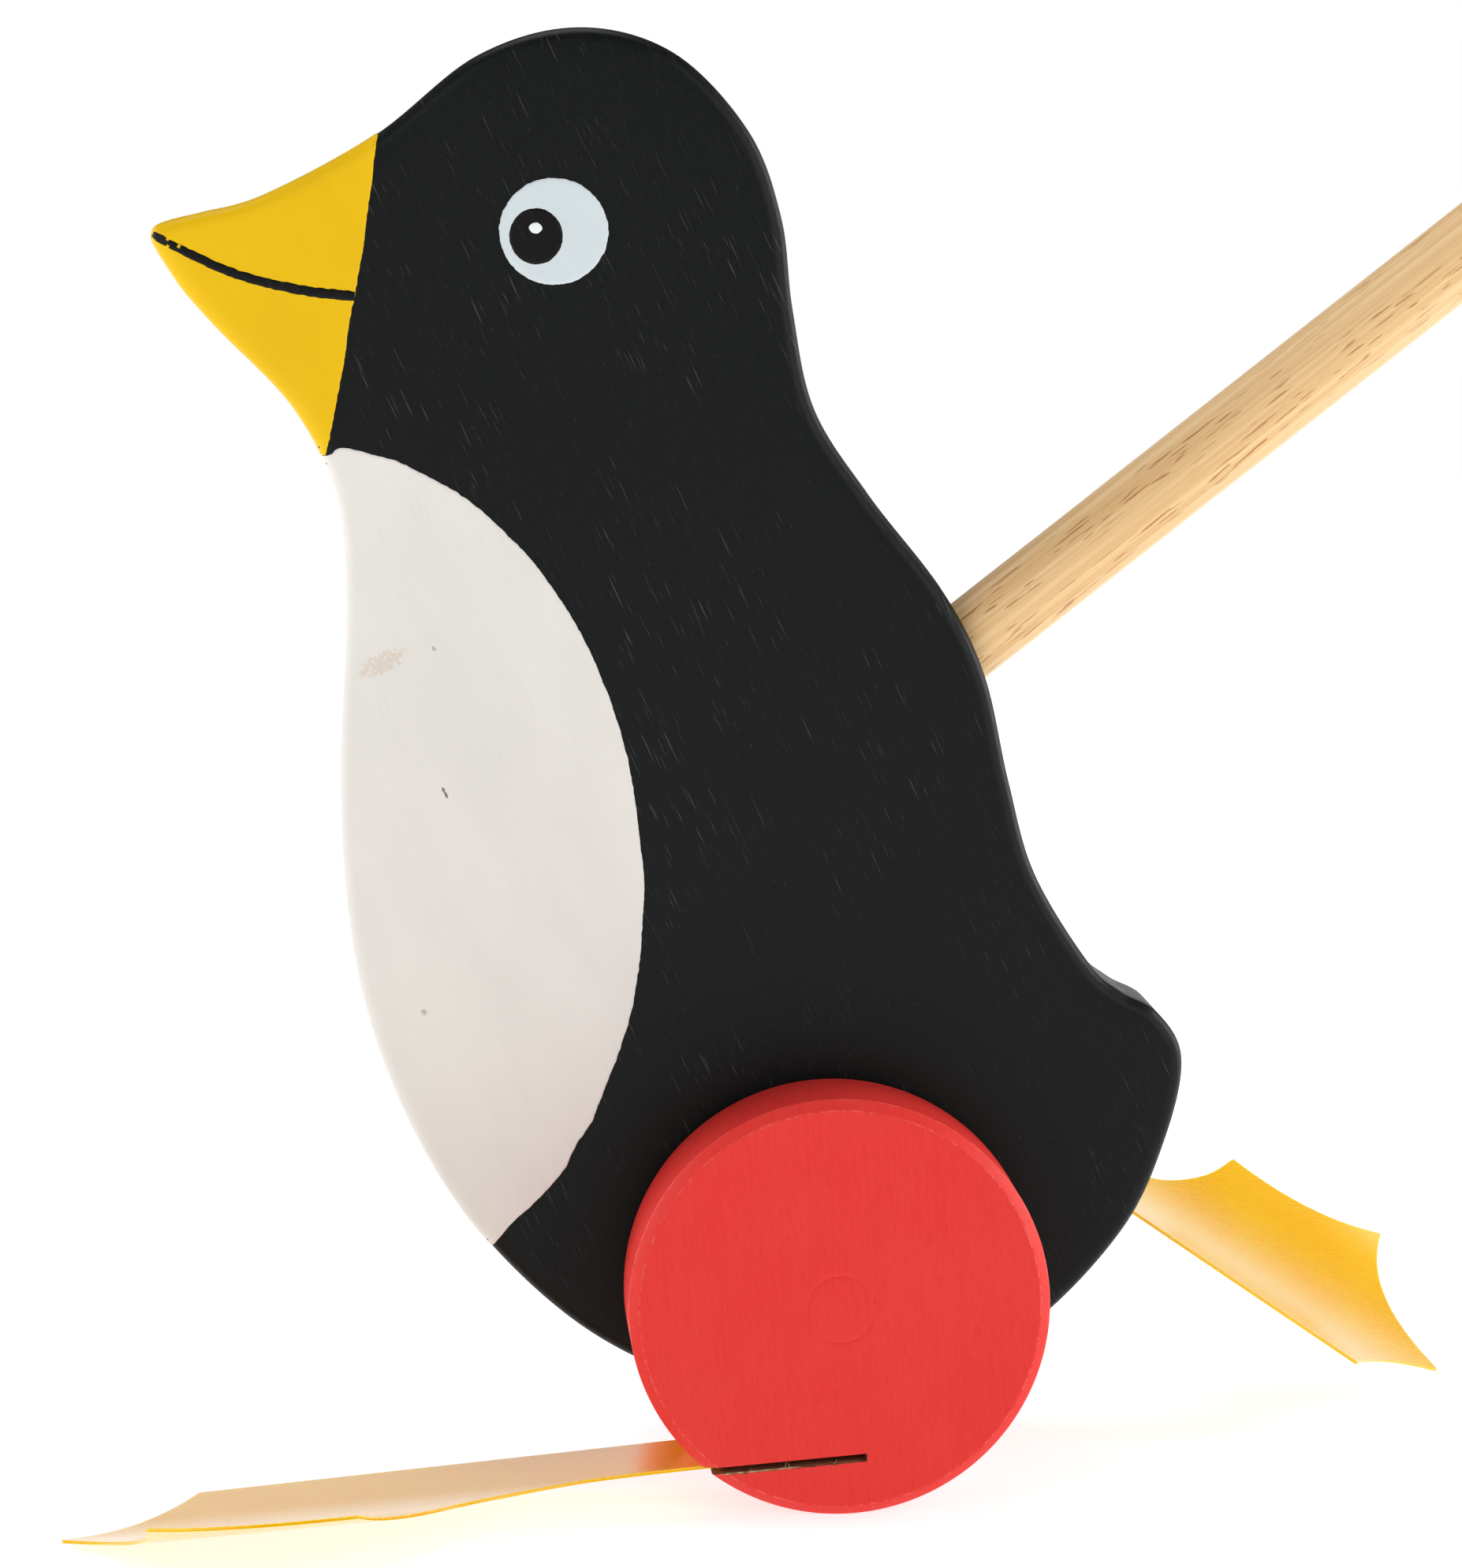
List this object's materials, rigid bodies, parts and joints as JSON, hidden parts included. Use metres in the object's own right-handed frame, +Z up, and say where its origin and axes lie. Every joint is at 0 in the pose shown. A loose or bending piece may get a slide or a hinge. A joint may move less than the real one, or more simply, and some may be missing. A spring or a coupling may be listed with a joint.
{
  "type": "push along toy",
  "caption": "Flat wooden penguin on an axle with red wheels, a floppy webbed foot set in each wheel's rim, and a push stick with a ball grip.",
  "frame": {"origin": "on the floor, straight under the middle of the axle, in the board's middle plane", "axes": "+X from beak to tail, so the toy rolls towards -X; +Y along the axle from the left wheel to the right wheel; +Z up"},
  "size_m": [0.5223, 0.1292, 0.433],
  "materials": {
    "black_paint": "satin black paint over fine-grained wood",
    "white_paint": "satin warm white paint over wood",
    "yellow_paint": "satin golden yellow paint over wood",
    "red_paint": "satin red paint over wood",
    "natural_wood": "clear satin varnish",
    "axle_wood": "bare turned dowel",
    "foot_sheet": "smooth golden yellow vinyl-coated woven sheet"
  },
  "bodies": {
    "bird": {"body_board": "black_paint", "beak_paint": "yellow_paint", "belly_paint": "white_paint", "eye_whites": "white_paint", "eye_pupils": "black_paint", "eye_glints": "white_paint", "mouth_lines": "black_paint", "handle_rod": "natural_wood", "handle_ball": "natural_wood"},
    "wheelset": {"axle": "axle_wood", "left_wheel": "red_paint", "right_wheel": "red_paint", "left_foot_root": "foot_sheet", "right_foot_root": "foot_sheet"},
    "left_blade": {"left_foot": "foot_sheet"},
    "right_blade": {"right_foot": "foot_sheet"}
  },
  "joints": [
    {"name": "wheelset_spin", "type": "hinge", "parent": "bird", "child": "wheelset", "pos_m": [0, 0, 0.031], "axis": [0, 1, 0], "continuous": true},
    {"name": "left_foot_flex", "type": "hinge", "parent": "wheelset", "child": "left_blade", "pos_m": [-0.02075, 0, 0.00717], "axis": [0, 1, 0], "range_deg": [-20, 40], "stiffness_Nm_per_rad": 0.00125},
    {"name": "right_foot_flex", "type": "hinge", "parent": "wheelset", "child": "right_blade", "pos_m": [0.02451, 0, 0.05155], "axis": [0, 1, 0], "range_deg": [-35, 15], "stiffness_Nm_per_rad": 0.00125, "springref_deg": -29.79}
  ]
}
